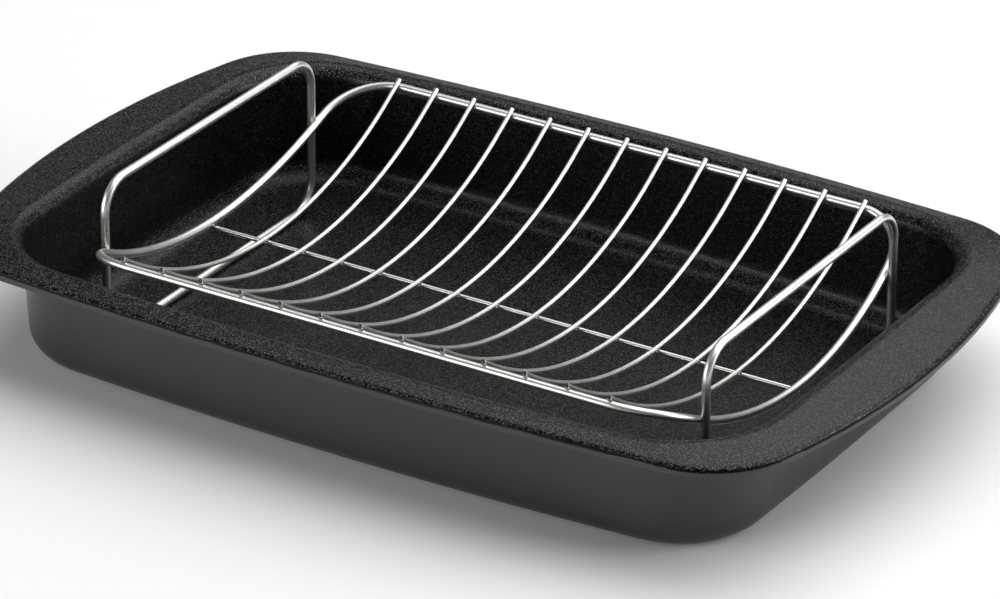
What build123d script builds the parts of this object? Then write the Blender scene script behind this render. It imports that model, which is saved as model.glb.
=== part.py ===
# Roasting pan with a lift-out wire rack.
#
# One pressed steel pan stands on the table with its long side along X. A rack
# of welded wire stands loose on the pan's floor: a closed frame wire is draped
# like a saddle, cross ribs lie over it as a cradle for the roast, one wire runs
# lengthwise under the ribs, and a loop at each end is a foot below and a
# handle above. Millimetres, +Z up, the origin under the middle of the pan.

import os
from math import asin, cos, degrees, pi, radians, sin, sqrt, tan

from build123d import *

# Pan: the sheet and its overall size, over the turned-down lip. The height is
# where the walls and the flange would meet without the round of the shoulder.
sheet = 1.0
pan_length = 454.0
pan_width = 294.0
pan_height = 59.5

# Rim: a flange that falls gently outwards and ends in a turned-down lip.
end_flange = 34.0
side_flange = 15.5
flange_fall = 3.5
lip_height = 4.3
lip_bend_radius = 2.0
shoulder_radius = 6.0

# Plan: all four sides are bowed, with round corners between them. Each side
# is an arc that turns by twice its half angle. The tub's ends are straighter
# than the rim's, so each end flange is widest in its middle.
side_bow_angle = radians(3.8)
rim_end_bow_angle = radians(15.0)
tub_end_bow_angle = radians(1.2)
rim_corner_radius = 46.0
tub_corner_radius = 48.0

# Tub: walls that lean outwards and a round turn into the floor.
end_wall_lean = radians(3.0)
side_wall_lean = radians(3.5)
floor_radius = 12.5

# Rack wires, and how deep two welded wires sink into each other.
frame_wire = 4.0
rib_wire = 2.3
weld_depth = 0.2

# Rack: the ribs are arcs of one radius, evenly spaced along the pan.
rib_count = 13
rib_spacing = 21.0
cradle_radius = 200.0
cradle_clearance = 27.0
rib_overhang = 2.6
rib_end_round = 0.4

# Rack frame: two straight rails, joined over each end by a bowed cradle arc.
rail_spacing = 231.0
frame_length = 317.0
end_arc_bow = 4.0
end_arc_width = 178.0
centre_wire_overhang = 0.8
frame_corner_reach = 29.0

# Rack loops: a foot bar on the floor and a handle bar above the rim.
loop_width = 175.0
loop_top = 80.0
loop_corner_radius = 15.0

# The rack stands loose in the pan, a little towards its right end, and its
# feet keep a small gap to the floor.
rack_shift = 5.5
standing_gap = 0.3

# How near an edge must lie to a height to be picked for rounding.
pick_margin = 0.1


# Outlines of the pan

def bowed_outline(height, half_length, half_width, end_bow_angle, corner_radius):
    """A closed outline of eight tangent arcs, as a face at the given height.

    The middles of the sides lie at half_length and half_width. The bow angles
    are the same in every outline, so a wall between two of them is smooth.
    """
    corner_turn = radians(90) - side_bow_angle - end_bow_angle
    # The centre of the corner arc lies on the last radius of both its
    # neighbours, which gives two linear equations for their two radii.
    side_sin, side_cos = sin(side_bow_angle), cos(side_bow_angle)
    end_sin, end_cos = sin(end_bow_angle), cos(end_bow_angle)
    along = half_length + corner_radius * (side_sin - end_cos)
    across = half_width + corner_radius * (end_sin - side_cos)
    determinant = side_sin * end_sin - (1 - end_cos) * (1 - side_cos)
    side_radius = (along * end_sin - across * (1 - end_cos)) / determinant
    end_radius = (across * side_sin - along * (1 - side_cos)) / determinant
    corner_x = (side_radius - corner_radius) * side_sin
    corner_y = (end_radius - corner_radius) * end_sin

    with BuildSketch(Plane.XY.offset(height)) as outline:
        with BuildLine():
            for side in (1, -1):
                # The long side with its middle on the Y axis.
                CenterArc(
                    (0, side * (half_width - side_radius)),
                    side_radius,
                    degrees(radians(90) * side - side_bow_angle),
                    degrees(2 * side_bow_angle),
                )
                # The end with its middle on the X axis.
                CenterArc(
                    (side * (half_length - end_radius), 0),
                    end_radius,
                    degrees(radians(90) * (1 - side) - end_bow_angle),
                    degrees(2 * end_bow_angle),
                )
            for quarter, (x_side, y_side) in enumerate(
                [(1, 1), (-1, 1), (-1, -1), (1, -1)]
            ):
                first_turn = end_bow_angle if quarter % 2 == 0 else side_bow_angle
                CenterArc(
                    (x_side * corner_x, y_side * corner_y),
                    corner_radius,
                    degrees(radians(90) * quarter + first_turn),
                    degrees(corner_turn),
                )
        make_face()
    return outline.sketch


def tub_outline(height, inset):
    """The tub's section at a height: its outer face, moved in by inset."""
    drop = pan_height - height
    return bowed_outline(
        height,
        pan_length / 2 - end_flange - drop * tan(end_wall_lean) - inset,
        pan_width / 2 - side_flange - drop * tan(side_wall_lean) - inset,
        tub_end_bow_angle,
        tub_corner_radius - drop * tan(side_wall_lean) - inset,
    )


def rim_outline(height, inset):
    """The outer edge of the rim at a height, moved in by inset."""
    return bowed_outline(
        height,
        pan_length / 2 - inset,
        pan_width / 2 - inset,
        rim_end_bow_angle,
        rim_corner_radius - inset,
    )


def edges_at(height, builder):
    """The edges of the piece in progress that lie at this height."""
    return builder.edges().filter_by_position(
        Axis.Z, height - pick_margin, height + pick_margin
    )


# Pan

rim_edge_height = pan_height - flange_fall
lip_bottom = rim_edge_height - lip_height

with BuildPart() as tub_space:
    # The space inside the tub, with the round turn at its floor.
    loft([tub_outline(sheet, sheet), tub_outline(pan_height, sheet)], ruled=True)
    fillet(tub_space.edges().group_by(Axis.Z)[0], floor_radius)

with BuildPart() as pan:
    # The rim as a solid cap: the lip's band, and the falling flange on it.
    extrude(rim_outline(lip_bottom, 0), amount=lip_height)
    loft([rim_outline(rim_edge_height, 0), tub_outline(pan_height, sheet)], ruled=True)
    fillet(edges_at(rim_edge_height, pan), lip_bend_radius + sheet)
    # Its underside, one sheet lower and one sheet further in.
    extrude(rim_outline(lip_bottom, sheet), amount=lip_height - sheet, mode=Mode.SUBTRACT)
    loft(
        [rim_outline(rim_edge_height - sheet, sheet), tub_outline(pan_height - sheet, 0)],
        ruled=True,
        mode=Mode.SUBTRACT,
    )
    fillet(edges_at(rim_edge_height - sheet, pan), lip_bend_radius)
    # The tub as a solid, with the round turns on its outside.
    loft([tub_outline(0, 0), tub_outline(pan_height - sheet, 0)], ruled=True)
    fillet(pan.edges().group_by(Axis.Z)[0], floor_radius + sheet)
    fillet(edges_at(pan_height - sheet, pan), shoulder_radius)
    # The space inside is cut out, and the shoulder is rounded over.
    add(tub_space.part, mode=Mode.SUBTRACT)
    shoulder_edges = pan.edges().group_by(Axis.Z)[-1]
    fillet(shoulder_edges, shoulder_radius + sheet)
pan.part.label = "pan"


# Rack: heights and places that its wires share. The wires are made around the
# origin and moved to the rack's place at the end.

floor_top = sheet
frame_radius = frame_wire / 2
rib_radius = rib_wire / 2
# The centre of the cradle's curve, which lies on a line along X above the rack.
cradle_axis_height = floor_top + cradle_clearance + cradle_radius
# The frame wire lies under the ribs at its rails, so its curve is larger there
# by the welded seat.
frame_seat = rib_radius + frame_radius - weld_depth
frame_curve_radius = cradle_radius + frame_seat
# The centre wire hangs under the ribs, and the end arcs lie on top of its ends.
centre_wire_radius = cradle_radius + 2 * rib_radius - weld_depth
end_arc_radius = centre_wire_radius - frame_seat


def height_on_curve(radius, across):
    """The height of a cradle curve of this radius at a distance across the pan."""
    return cradle_axis_height - sqrt(radius * radius - across * across)


def round_wire(path, wire_radius):
    """Sweep a round wire along the path into the piece that is being made."""
    with BuildSketch(Plane(origin=path @ 0, z_dir=path % 0)) as section:
        Circle(wire_radius)
    sweep(section.sketch, path=path)


# Rack frame

rail_y = rail_spacing / 2
rail_height = height_on_curve(frame_curve_radius, rail_y)
end_arc_y = end_arc_width / 2
end_arc_x = frame_length / 2 - frame_radius
end_arc_tip = Vector(
    end_arc_x - end_arc_bow, end_arc_y, height_on_curve(end_arc_radius, end_arc_y)
)
end_arc_middle = Vector(end_arc_x, 0, height_on_curve(end_arc_radius, 0))
rail_end_x = end_arc_tip.X - frame_corner_reach


def frame_corner(rail_end, tip, tip_direction):
    """Two arcs in space that lead from a rail, along X, into an end arc."""
    rail_direction = Vector(rail_end.X / abs(rail_end.X), 0, 0)
    span = tip - rail_end
    turn = rail_direction + tip_direction
    spread = 2 * (1 - rail_direction.dot(tip_direction))
    along = span.dot(turn)
    # Both arcs have tangents of one length, which meet at their joint.
    leg = (sqrt(along * along + spread * span.dot(span)) - along) / spread
    rail_handle = rail_end + rail_direction * leg
    tip_handle = tip - tip_direction * leg
    joint = (rail_handle + tip_handle) * 0.5
    TangentArc(rail_end, joint, tangent=rail_direction)
    TangentArc(joint, tip, tangent=tip_handle - rail_handle)


with BuildPart() as rack_frame:
    with BuildLine() as frame_path:
        far_tip = end_arc_tip
        near_tip = Vector(far_tip.X, -far_tip.Y, far_tip.Z)
        end_arc = ThreePointArc(far_tip, end_arc_middle, near_tip)
        far_rail_end = Vector(rail_end_x, rail_y, rail_height)
        near_rail_end = Vector(rail_end_x, -rail_y, rail_height)
        frame_corner(far_rail_end, far_tip, end_arc % 0)
        frame_corner(near_rail_end, near_tip, end_arc % 1 * -1)
        Line(far_rail_end, Vector(0, rail_y, rail_height))
        Line(near_rail_end, Vector(0, -rail_y, rail_height))
        mirror(about=Plane.YZ)
    round_wire(frame_path.wire(), frame_radius)
rack_frame.part.label = "rack_frame"
wire_section = pi * frame_radius * frame_radius
print("Frame wire volume by section and length:", wire_section * frame_path.wire().length)


# Cross ribs

# A rib runs a little past the rails, where its ends stay free.
rib_half_turn = degrees(asin(rail_y / frame_curve_radius) + rib_overhang / cradle_radius)
rib_places = [rib_spacing * (index - (rib_count - 1) / 2) for index in range(rib_count)]

ribs = []
for index, rib_x in enumerate(rib_places):
    with BuildPart() as cross_rib:
        with BuildLine(Plane.YZ.offset(rib_x)) as rib_path:
            CenterArc((0, cradle_axis_height), cradle_radius, 270 - rib_half_turn, 2 * rib_half_turn)
        round_wire(rib_path.line, rib_radius)
        fillet(cross_rib.edges().filter_by(GeomType.CIRCLE), rib_end_round)
    cross_rib.part.label = f"cross_rib_{index + 1:02d}"
    ribs.append(cross_rib.part)


# Centre wire

# It hangs under the ribs, and a short end of it stands out past both end arcs.
centre_wire_height = height_on_curve(centre_wire_radius, 0)
centre_wire_end = end_arc_x + centre_wire_overhang

with BuildPart() as centre_wire:
    with BuildLine() as centre_path:
        Line((-centre_wire_end, 0, centre_wire_height), (centre_wire_end, 0, centre_wire_height))
    round_wire(centre_path.line, rib_radius)
centre_wire.part.label = "centre_wire"


# Loops

# Each loop stands upright just outside the end arc, where its uprights cross it.
loop_y = loop_width / 2 - frame_radius
loop_x = end_arc_x - end_arc_bow * (loop_y / end_arc_y) ** 2 + 2 * frame_radius - weld_depth
foot_bar_height = floor_top + standing_gap + frame_radius
handle_bar_height = floor_top + loop_top

loops = []
for name, side in (("left_handle_loop", -1), ("right_handle_loop", 1)):
    with BuildPart() as handle_loop:
        with BuildLine(Plane.YZ.offset(side * loop_x)) as loop_path:
            FilletPolyline(
                (loop_y, foot_bar_height),
                (loop_y, handle_bar_height),
                (-loop_y, handle_bar_height),
                (-loop_y, foot_bar_height),
                radius=loop_corner_radius,
                close=True,
            )
        round_wire(loop_path.wire(), frame_radius)
    handle_loop.part.label = name
    loops.append(handle_loop.part)


# All pieces, with the wires moved to where the rack stands in the pan

rack_place = Location((rack_shift, 0, 0))
wires = [rack_frame.part, *ribs, centre_wire.part, *loops]
pieces = [pan.part, *[wire.moved(rack_place) for wire in wires]]

if __name__ == "__main__":
    os.makedirs("parts", exist_ok=True)
    for piece in pieces:
        print(piece.label, round(piece.volume, 1), piece.bounding_box().size)
        export_step(piece, f"parts/{piece.label}.step")
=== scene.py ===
# %% [markdown]
# # A roasting pan with a lift-out wire rack
#
# A pressed steel pan with a dark non-stick coating stands on a white floor. A
# rack of bright plated wire stands loose in it. The shapes come from the CAD
# model. This file gives them their real surfaces, adds the welds that join the
# wires, and sets the light and the camera of a product photograph. Lengths are
# in metres, and in millimetres where the name ends in MM.

from math import asin, cos, pi, radians, sin, sqrt

import bpy
from mathutils import Matrix, Vector


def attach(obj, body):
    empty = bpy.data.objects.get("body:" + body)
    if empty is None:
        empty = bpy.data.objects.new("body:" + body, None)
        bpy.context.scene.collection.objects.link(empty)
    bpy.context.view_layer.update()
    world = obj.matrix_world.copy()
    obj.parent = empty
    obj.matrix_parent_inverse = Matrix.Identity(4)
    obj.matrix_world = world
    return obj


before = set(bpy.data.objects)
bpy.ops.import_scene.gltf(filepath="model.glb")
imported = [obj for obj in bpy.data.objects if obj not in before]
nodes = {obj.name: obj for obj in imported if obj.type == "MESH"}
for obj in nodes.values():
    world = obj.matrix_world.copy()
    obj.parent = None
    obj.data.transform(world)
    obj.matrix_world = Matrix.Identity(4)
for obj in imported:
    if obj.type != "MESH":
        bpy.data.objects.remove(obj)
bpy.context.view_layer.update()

# %% [markdown]
# A material is a tree of small nodes, and Blender asks for several lines to
# add each one. They could be clicked together by hand, but a script can be
# read and run again. One helper adds a node, fills its sockets and links it to
# the nodes before it, so each step of a tree below is one call.


# %% A helper that adds a node
def add_node(tree, kind, inputs=None, **settings):
    """Adds a node. An input is a value, a socket, or a node, whose first output is meant."""
    node = tree.nodes.new(kind)
    for name, value in settings.items():
        setattr(node, name, value)
    for key, value in (inputs or {}).items():
        if isinstance(value, bpy.types.Node):
            value = value.outputs[0]
        if isinstance(value, bpy.types.NodeSocket):
            tree.links.new(value, node.inputs[key])
        else:
            node.inputs[key].default_value = value
    return node


# A Mix node has a set of sockets for each kind of data. These are its colour ones.
COLOUR_A, COLOUR_B, COLOUR_OUT = 6, 7, 2
print("helper ready")

# %% [markdown]
# Colours are picked on a screen, as hex values, but a renderer adds up light
# itself. Blender's colour picker turns one into the other without a word, and
# a script has to do that sum. The size of a pattern, such as the grain of a
# coat, is measured in millimetres on the real thing, and a texture node wants
# to know how often it repeats in a metre. A new material comes with a plain
# shader, which is cleared away, so a tree holds only what is added here.


# %% Colours, pattern sizes and empty materials
def linear(hex_colour):
    """An sRGB hex colour as linear RGBA."""
    channels = [int(hex_colour[i : i + 2], 16) / 255 for i in (1, 3, 5)]
    return [c / 12.92 if c <= 0.04045 else ((c + 0.055) / 1.055) ** 2.4 for c in channels] + [1.0]


def pattern_scale(size_mm):
    """How often a pattern of this size repeats in a metre."""
    return 1000 / size_mm


def new_material(name):
    """A material with an empty tree, and the output node of that tree."""
    material = bpy.data.materials.new(name)
    material.use_nodes = True
    tree = material.node_tree
    tree.nodes.clear()
    return material, tree, add_node(tree, "ShaderNodeOutputMaterial")


print("mid grey #808080 is", round(linear("#808080")[0], 3), "of white light")

# %% [markdown]
# The pan is one sheet of steel, coated on both faces before it was pressed. A
# non-stick coat covers the inside and the top of the rim, and a plain satin
# back coat covers the outside. Two materials on chosen faces could show them,
# but the border would then follow the triangles of the mesh. One material that
# holds both coats gives a clean border. It knows them by their facing: the
# inside of a wall looks towards the middle of the pan, and the floor and the
# rim look up.

# %% Where the non-stick coat lies
# The upward share of a face's direction, from 0 on an upright wall to 1 on a
# flat floor. The coat fades in between these two.
COAT_STARTS = 0.30
COAT_FULL = 0.42


def facing_away(tree, normal, point):
    """Above zero where a wall looks away from the middle of the pan."""
    lengthwise = add_node(
        tree,
        "ShaderNodeMath",
        {0: normal.outputs["X"], 1: point.outputs["X"]},
        operation="MULTIPLY",
    )
    crosswise = add_node(
        tree,
        "ShaderNodeMath",
        {0: normal.outputs["Y"], 1: point.outputs["Y"]},
        operation="MULTIPLY",
    )
    return add_node(tree, "ShaderNodeMath", {0: lengthwise, 1: crosswise}, operation="ADD")


def facing_up(tree, normal):
    """1 on the floor and the rim, and 0 on the walls."""
    return add_node(
        tree,
        "ShaderNodeMapRange",
        {"Value": normal.outputs["Z"], "From Min": COAT_STARTS, "From Max": COAT_FULL},
        interpolation_type="SMOOTHSTEP",
    )


print("coat from", COAT_STARTS, "to", COAT_FULL, "of the way up")

# %% [markdown]
# Over the outer bend of the rim a fine, dark line is painted: painted shade in
# the colour, and the bend mirrors less light there as well. It could be drawn
# as a thin strip of mesh, but it is a change of colour and shine and not of
# shape, so the material finds it: the part of the bend that looks away from
# the pan and halfway up, and only as high as the rim.

# %% The painted shade line over the rim's bend
# The upward share of a face's direction over which the painted shade line fades in and out.
SHADE_LINE_LOW = (0.14, 0.30)
SHADE_LINE_HIGH = (0.42, 0.66)
# The walls' turn into the floor is lower than this and gets no painted shade line.
SHADE_LINE_ABOVE = 0.050


# Painted shade: this mask marks the dark line over the rim's bend.
def rim_shade_line(tree, normal, point, away):
    """1 in the painted shade line over the rim's bend, and 0 elsewhere."""
    rises = add_node(
        tree,
        "ShaderNodeMapRange",
        {"Value": normal.outputs["Z"], "From Min": SHADE_LINE_LOW[0], "From Max": SHADE_LINE_LOW[1]},
        interpolation_type="SMOOTHSTEP",
    )
    falls = add_node(
        tree,
        "ShaderNodeMapRange",
        {
            "Value": normal.outputs["Z"],
            "From Min": SHADE_LINE_HIGH[0],
            "From Max": SHADE_LINE_HIGH[1],
            "To Min": 1.0,
            "To Max": 0.0,
        },
        interpolation_type="SMOOTHSTEP",
    )
    shade_line = add_node(tree, "ShaderNodeMath", {0: rises, 1: falls}, operation="MULTIPLY")
    outside = add_node(tree, "ShaderNodeMath", {0: away, 1: 0.0}, operation="GREATER_THAN")
    at_rim = add_node(
        tree, "ShaderNodeMath", {0: point.outputs["Z"], 1: SHADE_LINE_ABOVE}, operation="GREATER_THAN"
    )
    shade_line = add_node(tree, "ShaderNodeMath", {0: shade_line, 1: outside}, operation="MULTIPLY")
    return add_node(tree, "ShaderNodeMath", {0: shade_line, 1: at_rim}, operation="MULTIPLY")


print("line above", SHADE_LINE_ABOVE)

# %% [markdown]
# The non-stick coat is a black resin that is rolled on, with pale mineral
# flecks in it that make it harder. They give the eye a fine, uneven glitter on
# the rim. Noise would give soft clouds, where flecks have edges, so Voronoi
# cells make them: a cell is one fleck with its own paleness, bright in its
# middle and fading to its edge. The cells are turned, because in line with the
# pan its straight walls would cut them in rows.

# %% Mineral flecks in the coat
# A real fleck is 0.1 to 0.3 mm across. It is drawn larger, so that it shows.
FLECK_MM = 0.5556
FLECK_TURN = (0.6, 0.5, 0.4)
# Each cell draws a number. Up to the first of these it has no fleck, at the second a full one.
FLECK_PALENESS = (0.30, 1.0)
# A fleck fades between these distances from its middle, measured in cells.
FLECK_EDGE = (0.30, 0.65)
FLECKS_LEFT_ON_WALLS = 0.4


def mineral_flecks(tree, place, faces_up):
    """How strongly a fleck shows at a place, from 0 to 1."""
    turned = add_node(tree, "ShaderNodeMapping", {"Vector": place, "Rotation": FLECK_TURN})
    cells = add_node(
        tree, "ShaderNodeTexVoronoi", {"Vector": turned, "Scale": pattern_scale(FLECK_MM)}
    )
    chance = add_node(tree, "ShaderNodeSeparateColor", {0: cells.outputs["Color"]})
    paleness = add_node(
        tree,
        "ShaderNodeMapRange",
        {"Value": chance, "From Min": FLECK_PALENESS[0], "From Max": FLECK_PALENESS[1]},
        interpolation_type="SMOOTHSTEP",
    )
    core = add_node(
        tree,
        "ShaderNodeMapRange",
        {
            "Value": cells.outputs["Distance"],
            "From Min": FLECK_EDGE[0],
            "From Max": FLECK_EDGE[1],
            "To Min": 1.0,
            "To Max": 0.0,
        },
        interpolation_type="SMOOTHSTEP",
    )
    fleck = add_node(tree, "ShaderNodeMath", {0: paleness, 1: core}, operation="MULTIPLY")
    # Pressing stretches the coat in the walls and thins it, so the flecks show less there.
    kept = add_node(
        tree,
        "ShaderNodeMapRange",
        {"Value": faces_up, "To Min": FLECKS_LEFT_ON_WALLS, "To Max": 1.0},
        interpolation_type="SMOOTHSTEP",
    )
    return add_node(tree, "ShaderNodeMath", {0: fleck, 1: kept}, operation="MULTIPLY")


print("flecks in a centimetre", round(10 / FLECK_MM))

# %% [markdown]
# Each coat has its own colour. The resin is nearly black between its flecks.
# The back coat is a dark grey, a little cloudy because it is sprayed thinly.
# Plain colours would look like plastic, so both vary: one from fleck to fleck,
# the other in clouds a few centimetres wide.

# %% The colours of the coats
RESIN, FLECK = "#050506", "#4a4c4e"
BACK_COAT, BACK_COAT_PALE = "#29292a", "#313132"
# The dark line over the rim's bend is painted shade, mixed over either coat.
SHADE_LINE_COLOUR, SHADE_LINE_STRENGTH = "#060606", 0.85
CLOUD_MM = 28.57


def coat_colour(tree, place, coat, fleck, shade_line):
    """The colour of whichever coat lies at a place, with the painted shade line on the rim."""
    non_stick = add_node(
        tree,
        "ShaderNodeMix",
        {"Factor": fleck, COLOUR_A: linear(RESIN), COLOUR_B: linear(FLECK)},
        data_type="RGBA",
    )
    clouds = add_node(
        tree,
        "ShaderNodeTexNoise",
        {"Vector": place, "Scale": pattern_scale(CLOUD_MM), "Detail": 2.0},
    )
    back = add_node(
        tree,
        "ShaderNodeMix",
        {"Factor": clouds, COLOUR_A: linear(BACK_COAT), COLOUR_B: linear(BACK_COAT_PALE)},
        data_type="RGBA",
    )
    either = add_node(
        tree,
        "ShaderNodeMix",
        {
            "Factor": coat,
            COLOUR_A: back.outputs[COLOUR_OUT],
            COLOUR_B: non_stick.outputs[COLOUR_OUT],
        },
        data_type="RGBA",
    )
    # Painted shade: the dark line over the rim's bend.
    darkened = add_node(
        tree, "ShaderNodeMath", {0: shade_line, 1: SHADE_LINE_STRENGTH}, operation="MULTIPLY"
    )
    return add_node(
        tree,
        "ShaderNodeMix",
        {"Factor": darkened, COLOUR_A: either.outputs[COLOUR_OUT], COLOUR_B: linear(SHADE_LINE_COLOUR)},
        data_type="RGBA",
    ).outputs[COLOUR_OUT]


print("resin", RESIN, "back coat", BACK_COAT)

# %% [markdown]
# Both coats are satin, which is a roughness of 0.2 to 0.4. The rolled coat
# varies from spot to spot, like the skin of an orange, and the sprayed one is
# even. A bump could make that skin too, but at this distance its waves are
# only seen as gloss that comes and goes, so noise changes the roughness.

# %% How matt the coats are
BACK_COAT_ROUGHNESS = 0.36
COAT_ROUGHNESS = (0.22, 0.36)
# The skin of a rolled coat has waves about a millimetre long.
COAT_SKIN_MM = 1.111


def coat_roughness(tree, place, coat):
    """How matt the surface is."""
    skin = add_node(
        tree,
        "ShaderNodeTexNoise",
        {"Vector": place, "Scale": pattern_scale(COAT_SKIN_MM), "Detail": 3.0},
    )
    uneven = add_node(
        tree,
        "ShaderNodeMapRange",
        {"Value": skin, "To Min": COAT_ROUGHNESS[0], "To Max": COAT_ROUGHNESS[1]},
    )
    return add_node(
        tree,
        "ShaderNodeMix",
        {"Factor": coat, "A": BACK_COAT_ROUGHNESS, "B": uneven},
        data_type="FLOAT",
    )


print("non-stick roughness", COAT_ROUGHNESS, "back coat", BACK_COAT_ROUGHNESS)

# %% [markdown]
# How matt a coat is says how sharp its reflections are, and not how strong.
# The flecks are dense mineral and mirror more light than the resin round them,
# which gives the rim its glitter. The painted shade line over the bend mirrors
# almost none, so that it stays dark. The shader has a level for that, where
# 0.5 is ordinary paint, and each coat gets its own.

# %% How much the coats mirror
RESIN_MIRRORS, FLECK_MIRRORS, BACK_COAT_MIRRORS = 0.2, 1.0, 0.5
# A fleck this strong or stronger mirrors fully.
STRONG_FLECK = 0.8
# The painted shade line mirrors this little, so that it stays dark.
SHADE_LINE_MIRRORS = 0.15


def coat_mirroring(tree, coat, fleck, shade_line):
    """How much of the light the surface mirrors."""
    coat_mirrors = add_node(
        tree,
        "ShaderNodeMapRange",
        {
            "Value": fleck,
            "From Max": STRONG_FLECK,
            "To Min": RESIN_MIRRORS,
            "To Max": FLECK_MIRRORS,
        },
        interpolation_type="SMOOTHSTEP",
    )
    back = add_node(tree, "ShaderNodeMath", {0: 1.0, 1: coat}, operation="SUBTRACT")
    back_mirrors = add_node(
        tree, "ShaderNodeMath", {0: back, 1: BACK_COAT_MIRRORS}, operation="MULTIPLY"
    )
    either = add_node(
        tree, "ShaderNodeMath", {0: coat_mirrors, 1: back_mirrors}, operation="MAXIMUM"
    )
    dulled = add_node(
        tree,
        "ShaderNodeMapRange",
        {"Value": shade_line, "To Min": 1.0, "To Max": SHADE_LINE_MIRRORS},
        interpolation_type="SMOOTHSTEP",
    )
    return add_node(tree, "ShaderNodeMath", {0: either, 1: dulled}, operation="MULTIPLY")


print("resin mirrors", RESIN_MIRRORS, "and a fleck", FLECK_MIRRORS)

# %% [markdown]
# The steps above now come together as one material, coated steel. The flecks
# also stand a little proud of the resin, which a bump shows without a mesh
# finer than the flecks.

# %% Coated steel
FLECK_BUMP_STRENGTH = 0.9
FLECK_HEIGHT_MM = 0.15


def coated_steel():
    """Pressed steel with a non-stick coat inside and a satin coat outside."""
    material, tree, output = new_material("non_stick_coated_steel")
    place = add_node(tree, "ShaderNodeTexCoord").outputs["Object"]
    point = add_node(tree, "ShaderNodeSeparateXYZ", {0: place})
    geometry = add_node(tree, "ShaderNodeNewGeometry")
    normal = add_node(tree, "ShaderNodeSeparateXYZ", {0: geometry.outputs["Normal"]})

    away = facing_away(tree, normal, point)
    inwards = add_node(tree, "ShaderNodeMath", {0: away, 1: 0.0}, operation="LESS_THAN")
    faces_up = facing_up(tree, normal)
    coat = add_node(tree, "ShaderNodeMath", {0: inwards, 1: faces_up}, operation="MAXIMUM")
    # Painted shade: a dark line over the rim's outer bend.
    shade_line = rim_shade_line(tree, normal, point, away)
    fleck = mineral_flecks(tree, place, faces_up)
    coat_fleck = add_node(tree, "ShaderNodeMath", {0: fleck, 1: coat}, operation="MULTIPLY")
    bump = add_node(
        tree,
        "ShaderNodeBump",
        {
            "Height": coat_fleck,
            "Strength": FLECK_BUMP_STRENGTH,
            "Distance": FLECK_HEIGHT_MM / 1000,
        },
    )
    surface = add_node(
        tree,
        "ShaderNodeBsdfPrincipled",
        {
            "Base Color": coat_colour(tree, place, coat, fleck, shade_line),
            "Roughness": coat_roughness(tree, place, coat),
            "Specular IOR Level": coat_mirroring(tree, coat, coat_fleck, shade_line),
            "Normal": bump,
        },
    )
    tree.links.new(surface.outputs[0], output.inputs[0])
    return material


steel = coated_steel()
print(steel.name, "has", len(steel.node_tree.nodes), "nodes")

# %% [markdown]
# A CAD piece comes with a plain material. Its new one goes in the same place,
# and its mesh stays as it is.


# %% The pan's material
def dress(node, material):
    """Gives a CAD piece one material."""
    node.data.materials.clear()
    node.data.materials.append(material)


dress(nodes["pan"], steel)
print("dressed the pan with", nodes["pan"].data.materials[0].name)

# %% [markdown]
# The rack is mild steel wire, drawn through dies and then plated bright with
# nickel and chromium. The plating mirrors the studio, a little blurred,
# because it follows the fine lines that drawing leaves along the wire. A
# picture wrapped round each wire could show them, but noise that is stretched
# along the wire needs no unwrapping. Chromium is a cool white metal, and the
# nickel under it warms it slightly where it is thin.

# %% Bright plating over drawn lines
PLATING, PLATING_THIN = "#e9e8e5", "#dcdad6"
# Polished plating has a roughness near 0.1. Over drawn lines it is 0.3 and more.
PLATING_ROUGHNESS = (0.30, 0.42)
# Handling leaves smears of a fingertip's width.
SMEAR_MM = 8.333
# Real drawing lines are under 0.05 mm apart. They are drawn wider, so that they show.
DRAWN_LINE_MM = 1 / 6
DRAWN_LINE_DEPTH_MM = 0.02
DRAWN_LINE_STRENGTH = 0.15


def plated_surface(tree, place, lines_at):
    """Bright plating, with drawn lines that follow the coordinates lines_at."""
    lines = add_node(
        tree,
        "ShaderNodeTexNoise",
        {"Vector": lines_at, "Scale": pattern_scale(DRAWN_LINE_MM), "Detail": 2.0},
    )
    smears = add_node(
        tree,
        "ShaderNodeTexNoise",
        {"Vector": place, "Scale": pattern_scale(SMEAR_MM), "Detail": 3.0},
    )
    colour = add_node(
        tree,
        "ShaderNodeMix",
        {"Factor": smears, COLOUR_A: linear(PLATING), COLOUR_B: linear(PLATING_THIN)},
        data_type="RGBA",
    )
    roughness = add_node(
        tree,
        "ShaderNodeMapRange",
        {"Value": smears, "To Min": PLATING_ROUGHNESS[0], "To Max": PLATING_ROUGHNESS[1]},
    )
    bump = add_node(
        tree,
        "ShaderNodeBump",
        {
            "Height": lines,
            "Strength": DRAWN_LINE_STRENGTH,
            "Distance": DRAWN_LINE_DEPTH_MM / 1000,
        },
    )
    surface = add_node(
        tree,
        "ShaderNodeBsdfPrincipled",
        {"Metallic": 1.0, "Roughness": roughness, "Normal": bump},
    )
    return surface, colour.outputs[COLOUR_OUT]


print("drawn lines to a millimetre", round(1 / DRAWN_LINE_MM))

# %% [markdown]
# The rails and the centre wire are straight, and the handle loops lie in an
# upright plane. Squeezing the coordinates makes noise run lengthwise: hard
# along X for straight wire, and gently both ways in the plane of the loops,
# because their bends turn from one way to the other.

# %% The straight wires and the handle loops
ALONG_THE_RACK = (0.02, 1, 1)
IN_THE_LOOP = (1, 0.25, 0.25)


def plated_wire(name, squeeze):
    """Plated wire whose drawn lines run in the directions that squeeze makes small."""
    material, tree, output = new_material(name)
    place = add_node(tree, "ShaderNodeTexCoord").outputs["Object"]
    lines_at = add_node(
        tree, "ShaderNodeVectorMath", {0: place, 1: squeeze}, operation="MULTIPLY"
    )
    surface, colour = plated_surface(tree, place, lines_at)
    tree.links.new(colour, surface.inputs["Base Color"])
    tree.links.new(surface.outputs[0], output.inputs[0])
    return material


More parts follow.
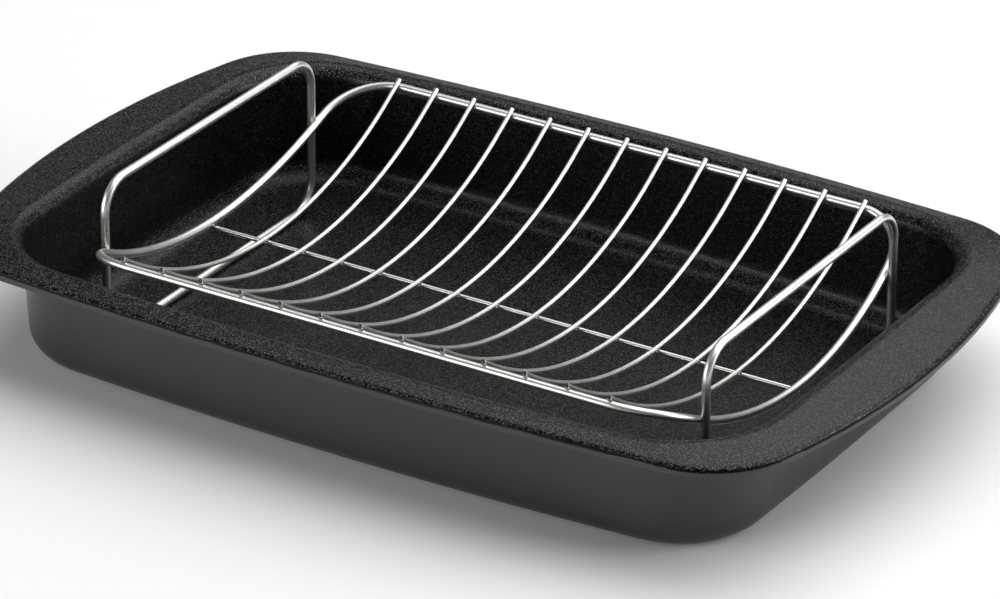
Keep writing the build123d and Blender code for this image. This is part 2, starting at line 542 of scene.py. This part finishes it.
rail_finish = plated_wire("plated_wire_straight", ALONG_THE_RACK)
loop_finish = plated_wire("plated_wire_loop", IN_THE_LOOP)
for name in ("rack_frame", "centre_wire"):
    dress(nodes[name], rail_finish)
for name in ("left_handle_loop", "right_handle_loop"):
    dress(nodes[name], loop_finish)
print("dressed", rail_finish.name, "and", loop_finish.name)

# %% [markdown]
# The ribs are arcs about one line that runs lengthwise above the rack, so they
# make a cradle for the roast. Their drawn lines follow the arc. Unrolling the
# coordinates does that: the angle about the line gives the place along a rib,
# and the distance from it gives the place across.

# %% Coordinates that follow the ribs
CRADLE_RADIUS = 0.200
CRADLE_AXIS_HEIGHT = 0.228
SQUEEZE_ALONG_RIB = 0.02


def unrolled_cradle(tree, point, below):
    """The place along the rack, along the rib and out from the cradle's line."""
    turn = add_node(tree, "ShaderNodeMath", {0: point.outputs["Y"], 1: below}, operation="ARCTAN2")
    along = add_node(
        tree,
        "ShaderNodeMath",
        {0: turn, 1: CRADLE_RADIUS * SQUEEZE_ALONG_RIB},
        operation="MULTIPLY",
    )
    below_squared = add_node(tree, "ShaderNodeMath", {0: below, 1: below}, operation="MULTIPLY")
    across_squared = add_node(
        tree,
        "ShaderNodeMath",
        {0: point.outputs["Y"], 1: point.outputs["Y"]},
        operation="MULTIPLY",
    )
    squares = add_node(
        tree, "ShaderNodeMath", {0: below_squared, 1: across_squared}, operation="ADD"
    )
    outwards = add_node(tree, "ShaderNodeMath", {0: squares}, operation="SQRT")
    return add_node(
        tree, "ShaderNodeCombineXYZ", {0: point.outputs["X"], 1: along, 2: outwards}
    )


print("cradle radius", CRADLE_RADIUS)

# %% [markdown]
# The ribs are cut to length by a shear. Their end faces get painted shade, a
# dark grey in the colour, so the ends look like dark dots along the rails. The
# ends are part of the same CAD piece, so the material finds them: only there
# does the surface look along the wire.

# %% The rib ends, where shade is painted
# How squarely a face looks along the wire, from 0 on its side to 1 on a clean cut.
SHEARED_STARTS, SHEARED_FULL = 0.35, 0.75


# Painted shade: this mask marks the rib ends, which the colour darkens.
def shaded_rib_end(tree, point, below):
    """1 on the end faces of a rib and 0 on its sides. Its near half counts as its far half."""
    geometry = add_node(tree, "ShaderNodeNewGeometry")
    normal = add_node(tree, "ShaderNodeSeparateXYZ", {0: geometry.outputs["Normal"]})
    side = add_node(tree, "ShaderNodeMath", {0: point.outputs["Y"]}, operation="SIGN")
    across = add_node(tree, "ShaderNodeMath", {0: point.outputs["Y"]}, operation="ABSOLUTE")
    along_wire = add_node(tree, "ShaderNodeCombineXYZ", {1: below, 2: across})
    along_wire = add_node(tree, "ShaderNodeVectorMath", {0: along_wire}, operation="NORMALIZE")
    facing_across = add_node(
        tree, "ShaderNodeMath", {0: normal.outputs["Y"], 1: side}, operation="MULTIPLY"
    )
    facing = add_node(
        tree, "ShaderNodeCombineXYZ", {1: facing_across, 2: normal.outputs["Z"]}
    )
    share = add_node(
        tree, "ShaderNodeVectorMath", {0: along_wire, 1: facing}, operation="DOT_PRODUCT"
    )
    return add_node(
        tree,
        "ShaderNodeMapRange",
        {
            "Value": share.outputs["Value"],
            "From Min": SHEARED_STARTS,
            "From Max": SHEARED_FULL,
        },
        interpolation_type="SMOOTHSTEP",
    )


print("sheared from", SHEARED_STARTS, "to", SHEARED_FULL)

# %% [markdown]
# The ribs get the same plating as the other wires. Only the coordinates of the
# drawn lines and the painted shade on the ends differ, so the two steps above
# are joined to it here.

# %% Plated wire for the ribs
# Painted shade on the rib ends, as a dark grey in the colour.
RIB_END_SHADE = "#4c4a48"


def plated_rib():
    """Plated wire bent to the cradle, with painted shade on its sheared ends."""
    material, tree, output = new_material("plated_wire_bent")
    place = add_node(tree, "ShaderNodeTexCoord").outputs["Object"]
    point = add_node(tree, "ShaderNodeSeparateXYZ", {0: place})
    below = add_node(
        tree,
        "ShaderNodeMath",
        {0: CRADLE_AXIS_HEIGHT, 1: point.outputs["Z"]},
        operation="SUBTRACT",
    )
    surface, colour = plated_surface(tree, place, unrolled_cradle(tree, point, below))
    # Painted shade: the rib ends turn dark grey.
    end_shaded = add_node(
        tree,
        "ShaderNodeMix",
        {
            "Factor": shaded_rib_end(tree, point, below),
            COLOUR_A: colour,
            COLOUR_B: linear(RIB_END_SHADE),
        },
        data_type="RGBA",
    )
    tree.links.new(end_shaded.outputs[COLOUR_OUT], surface.inputs["Base Color"])
    tree.links.new(surface.outputs[0], output.inputs[0])
    return material


rib_finish = plated_rib()
ribs = [node for name, node in nodes.items() if name.startswith("cross_rib")]
for rib in ribs:
    dress(rib, rib_finish)
print("dressed", len(ribs), "ribs with", rib_finish.name)

# %% [markdown]
# Resistance welding squeezes crossing wires together while a current melts
# them, and a little metal is pressed out as a soft collar round the contact.
# The wires' crossings could be found in their meshes, but the CAD sizes give
# them exactly, so those that place the welds are named here once more. Each
# rib is welded on both rails and over the centre wire.

# %% The welds along the ribs
# The rack stands this far to the right of the pan's middle.
RACK_SHIFT = 0.0055
RIB_COUNT = 13
RIB_SPACING = 0.021
RIB_RADIUS = 0.00115
FRAME_RADIUS = 0.002
RAIL_Y = 0.1155
WELD_DEPTH = 0.0002

rib_underside = CRADLE_RADIUS + RIB_RADIUS
rail_turn = asin(RAIL_Y / (rib_underside + FRAME_RADIUS - WELD_DEPTH))
on_rail = rib_underside - WELD_DEPTH / 2
# Each weld is a place, its turn about X and its tilt about Y.
welds = []
for i in range(RIB_COUNT):
    x = RACK_SHIFT + RIB_SPACING * (i - (RIB_COUNT - 1) / 2)
    for turn in (-rail_turn, rail_turn):
        y = on_rail * sin(turn)
        welds.append((x, y, CRADLE_AXIS_HEIGHT - on_rail * cos(turn), turn, 0.0))
    welds.append((x, 0.0, CRADLE_AXIS_HEIGHT - rib_underside, 0.0, 0.0))
print("welds on the ribs", len(welds))

# %% [markdown]
# At each end of the rack the frame wire crosses as a shallow, bowed arc. The
# centre wire is welded under it, and the handle loop against its outside, once
# at each side. Its bow is nearly a parabola, which gives its place at the loop.

# %% The welds on the end arcs
END_ARC_X = 0.1565
END_ARC_Y = 0.089
END_ARC_BOW = 0.004
LOOP_Y = 0.0855

end_arc_radius = rib_underside - FRAME_RADIUS
loop_contact_x = END_ARC_X - END_ARC_BOW * (LOOP_Y / END_ARC_Y) ** 2 + FRAME_RADIUS
loop_contact_z = CRADLE_AXIS_HEIGHT - sqrt(end_arc_radius**2 - LOOP_Y**2)
for end in (-1, 1):
    centre_x = RACK_SHIFT + end * END_ARC_X
    welds.append((centre_x, 0.0, CRADLE_AXIS_HEIGHT - rib_underside, 0.0, 0.0))
    loop_x = RACK_SHIFT + end * loop_contact_x
    for side in (-1, 1):
        welds.append((loop_x, side * LOOP_Y, loop_contact_z, 0.0, pi / 2))
print("welds in all", len(welds))

# %% [markdown]
# The plating over a weld is duller and darker than over drawn wire, because
# the metal below it froze with a rough, sandy skin. It gets its own material,
# plated weld, with a finer grain in its roughness and its bump.

# %% Plated welds
WELD_GREY = "#6f6c68"
WELD_ROUGHNESS = (0.40, 0.60)
# The real skin is finer. It is drawn this coarse, so that it shows.
WELD_GRAIN_MM = 0.4
WELD_GRAIN_HEIGHT_MM = 0.05
WELD_GRAIN_STRENGTH = 0.3


def plated_weld():
    """Dull plating over metal that froze with a sandy skin."""
    material, tree, output = new_material("plated_weld")
    place = add_node(tree, "ShaderNodeTexCoord").outputs["Object"]
    grain = add_node(
        tree,
        "ShaderNodeTexNoise",
        {"Vector": place, "Scale": pattern_scale(WELD_GRAIN_MM), "Detail": 3.0},
    )
    roughness = add_node(
        tree,
        "ShaderNodeMapRange",
        {"Value": grain, "To Min": WELD_ROUGHNESS[0], "To Max": WELD_ROUGHNESS[1]},
    )
    bump = add_node(
        tree,
        "ShaderNodeBump",
        {
            "Height": grain,
            "Strength": WELD_GRAIN_STRENGTH,
            "Distance": WELD_GRAIN_HEIGHT_MM / 1000,
        },
    )
    surface = add_node(
        tree,
        "ShaderNodeBsdfPrincipled",
        {
            "Base Color": linear(WELD_GREY),
            "Metallic": 1.0,
            "Roughness": roughness,
            "Normal": bump,
        },
    )
    tree.links.new(surface.outputs[0], output.inputs[0])
    return material


weld_finish = plated_weld()
print(weld_finish.name, "has", len(weld_finish.node_tree.nodes), "nodes")

# %% [markdown]
# The beads could be 45 copies made by a loop. Geometry Nodes do it with one
# tree that anyone can open and change: it sets a squashed ball on each point,
# turns it by the slope of the rib there, and gives each bead a slightly
# different size, because no two welds press out the same amount of metal.

# %% A tree that sets a bead on each point
BEAD_SMALLEST = (0.85, 0.85, 0.9)
BEAD_LARGEST = (1.1, 1.1, 1.1)
BEAD_SEED = 4

beads_tree = bpy.data.node_groups.new("weld_beads", "GeometryNodeTree")
sockets = beads_tree.interface
sockets.new_socket("Geometry", in_out="INPUT", socket_type="NodeSocketGeometry")
length_socket = sockets.new_socket(
    "Bead length", in_out="INPUT", socket_type="NodeSocketFloat"
)
height_socket = sockets.new_socket(
    "Bead height", in_out="INPUT", socket_type="NodeSocketFloat"
)
sockets.new_socket("Geometry", in_out="OUTPUT", socket_type="NodeSocketGeometry")
points = add_node(beads_tree, "NodeGroupInput")
# The ball is one across, so that the bead's length and height can scale it.
ball = add_node(beads_tree, "GeometryNodeMeshIcoSphere", {"Radius": 0.5, "Subdivisions": 3})
print("inputs", length_socket.name, "and", height_socket.name)

# %% [markdown]
# Each point brings its turn and its tilt as attributes, which a tree can read
# by name. A size for each bead could be stored with them. A random value is
# simpler, and gives the same beads in each run because its seed is fixed.

# %% The turn and the size of each bead
bead_turn = add_node(
    beads_tree, "GeometryNodeInputNamedAttribute", {"Name": "turn"}, data_type="FLOAT"
)
bead_tilt = add_node(
    beads_tree, "GeometryNodeInputNamedAttribute", {"Name": "tilt"}, data_type="FLOAT"
)
rotation = add_node(beads_tree, "ShaderNodeCombineXYZ", {"X": bead_turn, "Y": bead_tilt})
plain_size = add_node(
    beads_tree,
    "ShaderNodeCombineXYZ",
    {
        "X": points.outputs["Bead length"],
        "Y": points.outputs["Bead length"],
        "Z": points.outputs["Bead height"],
    },
)
variety = add_node(
    beads_tree,
    "FunctionNodeRandomValue",
    {"Min": BEAD_SMALLEST, "Max": BEAD_LARGEST, "Seed": BEAD_SEED},
    data_type="FLOAT_VECTOR",
)
bead_size = add_node(
    beads_tree, "ShaderNodeVectorMath", {0: plain_size, 1: variety}, operation="MULTIPLY"
)
print("beads vary from", BEAD_SMALLEST, "to", BEAD_LARGEST)

# %% [markdown]
# Instances are light, because they share one ball, but an exported model can't
# hold them. So they are made real before the tree ends, and the mesh gets
# smooth shading and the welds' plating.

# %% The beads as one real mesh
placed = add_node(
    beads_tree,
    "GeometryNodeInstanceOnPoints",
    {
        "Points": points.outputs["Geometry"],
        "Instance": ball,
        "Rotation": rotation,
        "Scale": bead_size,
    },
)
real = add_node(beads_tree, "GeometryNodeRealizeInstances", {"Geometry": placed})
smooth = add_node(beads_tree, "GeometryNodeSetShadeSmooth", {"Geometry": real})
finished = add_node(
    beads_tree, "GeometryNodeSetMaterial", {"Geometry": smooth, "Material": weld_finish}
)
add_node(beads_tree, "NodeGroupOutput", {"Geometry": finished})
print("nodes in the tree", len(beads_tree.nodes))

# %% [markdown]
# The points carry their turn and tilt as attributes that the tree reads. Its
# result is turned into a plain mesh, one piece for the rack, which rides with
# the rack when it is lifted out of the pan.

# %% The welds of the rack
BEAD_LENGTH = 0.0026
BEAD_HEIGHT = 0.0014

weld_points = bpy.data.meshes.new("weld_points")
weld_points.from_pydata([weld[:3] for weld in welds], [], [])
for column, name in ((3, "turn"), (4, "tilt")):
    angles = weld_points.attributes.new(name, "FLOAT", "POINT")
    angles.data.foreach_set("value", [weld[column] for weld in welds])
source = bpy.data.objects.new("weld_source", weld_points)
bpy.context.collection.objects.link(source)
beads = source.modifiers.new("beads", "NODES")
beads.node_group = beads_tree
beads[length_socket.identifier] = BEAD_LENGTH
beads[height_socket.identifier] = BEAD_HEIGHT
evaluated = source.evaluated_get(bpy.context.evaluated_depsgraph_get())
rack_welds = bpy.data.objects.new("rack_welds", bpy.data.meshes.new_from_object(evaluated))
bpy.context.collection.objects.link(rack_welds)
bpy.data.objects.remove(source)
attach(rack_welds, "rack")
print("weld faces", len(rack_welds.data.polygons))

# %% [markdown]
# A dark pan is photographed on white paper, so that its edge stands out. The
# paper could be lit until it is white, but the same light would bleach the
# pan. So the paper keeps its own colour and its soft shadow near the pan, and
# turns to plain white further away. Only the camera and the surfaces that
# mirror it see that white, so it puts no more light on the pan.

# %% White paper on the floor
FLOOR_REACH = 30.0
PAPER = "#fcfcfc"
PAPER_ROUGHNESS = 0.9
# How far from the middle the paper starts to fade, and is plain white.
FADE_STARTS, WHITE_STARTS = 0.35, 0.7

paper, paper_tree, paper_output = new_material("white_paper")
matt_paper = add_node(
    paper_tree,
    "ShaderNodeBsdfPrincipled",
    {"Base Color": linear(PAPER), "Roughness": PAPER_ROUGHNESS},
)
plain_white = add_node(paper_tree, "ShaderNodeEmission", {"Strength": 1.0})
paper_place = add_node(paper_tree, "ShaderNodeTexCoord").outputs["Object"]
from_pan = add_node(paper_tree, "ShaderNodeVectorMath", {0: paper_place}, operation="LENGTH")
far_away = add_node(
    paper_tree,
    "ShaderNodeMapRange",
    {
        "Value": from_pan.outputs["Value"],
        "From Min": FADE_STARTS,
        "From Max": WHITE_STARTS,
    },
    interpolation_type="SMOOTHSTEP",
)
print("plain white beyond", WHITE_STARTS)

# %% [markdown]
# Light Path tells the paper what kind of ray has reached it. The camera's rays
# and mirrored rays see plain white far away, and the soft light that bounces
# off the floor knows only matt paper. The floor itself could be a curved
# sweep, but one square much larger than the picture shows no edge either.

# %% The floor
ray = add_node(paper_tree, "ShaderNodeLightPath").outputs
seen = add_node(
    paper_tree,
    "ShaderNodeMath",
    {0: ray["Is Camera Ray"], 1: ray["Is Glossy Ray"]},
    operation="MAXIMUM",
)
seen = add_node(
    paper_tree, "ShaderNodeMath", {0: seen, 1: ray["Is Transmission Ray"]}, operation="MAXIMUM"
)
white_share = add_node(paper_tree, "ShaderNodeMath", {0: far_away, 1: seen}, operation="MULTIPLY")
paper_mix = add_node(
    paper_tree, "ShaderNodeMixShader", {0: white_share, 1: matt_paper, 2: plain_white}
)
paper_tree.links.new(paper_mix.outputs[0], paper_output.inputs[0])

corners = [(x * FLOOR_REACH, y * FLOOR_REACH, 0) for x, y in ((-1, -1), (1, -1), (1, 1), (-1, 1))]
floor_mesh = bpy.data.meshes.new("studio_floor")
floor_mesh.from_pydata(corners, [], [(0, 1, 2, 3)])
floor_mesh.materials.append(paper)
floor = bpy.data.objects.new("studio_floor", floor_mesh)
bpy.context.collection.objects.link(floor)
print("floor", 2 * FLOOR_REACH, "wide")

# %% [markdown]
# Satin steel and bright wire show the studio more than their own colour, so
# the lamps are large and soft. One big box hangs over the pan and towards the
# back, and lights the rim and the floor. A box at the right gives the end of
# the pan its paler side, and a low one at the left front lights the long
# outside wall. A faint even glow fills the shadows. Fewer lamps would do for
# light, but then the wires would have black sides. The powers are set so that
# a colour on the open floor renders about as it is written.

# %% Lamps and air
# Each lamp has its place, the point it looks at, its width and height, and its power in watts.
SOFT_BOXES = {
    "overhead_soft_box": ((0.3, 0.7, 1.75), (0, 0, 0), (3.0, 2.6), 49),
    "right_soft_box": ((1.9, 1.0, 0.65), (0, 0, 0.03), (1.4, 0.9), 20),
    "left_soft_box": ((-1.3, -1.7, 0.5), (0, 0, 0), (1.8, 0.8), 25),
}
AIR_STRENGTH = 0.12

for name, (place, target, (width, height), power) in SOFT_BOXES.items():
    light = bpy.data.lights.new(name, "AREA")
    light.shape = "RECTANGLE"
    light.size = width
    light.size_y = height
    light.energy = power
    lamp = bpy.data.objects.new(name, light)
    lamp.location = place
    lamp.rotation_euler = (Vector(target) - Vector(place)).to_track_quat("-Z", "Y").to_euler()
    bpy.context.collection.objects.link(lamp)

world = bpy.data.worlds.new("studio_air")
world.use_nodes = True
air = world.node_tree
air.nodes.clear()
glow = add_node(
    air, "ShaderNodeBackground", {"Color": linear("#ffffff"), "Strength": AIR_STRENGTH}
)
add_node(air, "ShaderNodeOutputWorld", {"Surface": glow})
bpy.context.scene.world = world
print("lamps", len(SOFT_BOXES))

# %% [markdown]
# The camera was worked out from the photograph itself: the thirteen evenly
# spaced ribs and the straight rails give its place, its turn and its lens.
# Turning it by hand until the picture looks right would leave it some pixels
# off. The lens is long and far away, which keeps both handle loops almost the
# same size.

# %% Camera
CAMERA_PLACE = (1.2268, -2.0159, 1.1981)
YAW, PITCH, ROLL = radians(31.184), radians(-26.37), radians(0.51)
FOCAL_LENGTH_PX = 5787.2
PHOTO_WIDTH_PX = 1000
SENSOR_WIDTH_MM = 36.0

forward = Vector((-sin(YAW) * cos(PITCH), cos(YAW) * cos(PITCH), sin(PITCH)))
right = Vector((cos(YAW), sin(YAW), 0))
up = right.cross(forward)
tilted_right = cos(ROLL) * right + sin(ROLL) * up
tilted_up = -sin(ROLL) * right + cos(ROLL) * up
turned = Matrix((tilted_right, tilted_up, -forward)).transposed()

lens = bpy.data.cameras.new("photo_camera")
lens.sensor_width = SENSOR_WIDTH_MM
lens.lens = FOCAL_LENGTH_PX / PHOTO_WIDTH_PX * SENSOR_WIDTH_MM
camera = bpy.data.objects.new("photo_camera", lens)
camera.matrix_world = Matrix.Translation(CAMERA_PLACE) @ turned.to_4x4()
bpy.context.collection.objects.link(camera)
bpy.context.scene.camera = camera
bpy.context.scene.view_settings.view_transform = "Standard"
print("lens", round(lens.lens, 1), "mm")
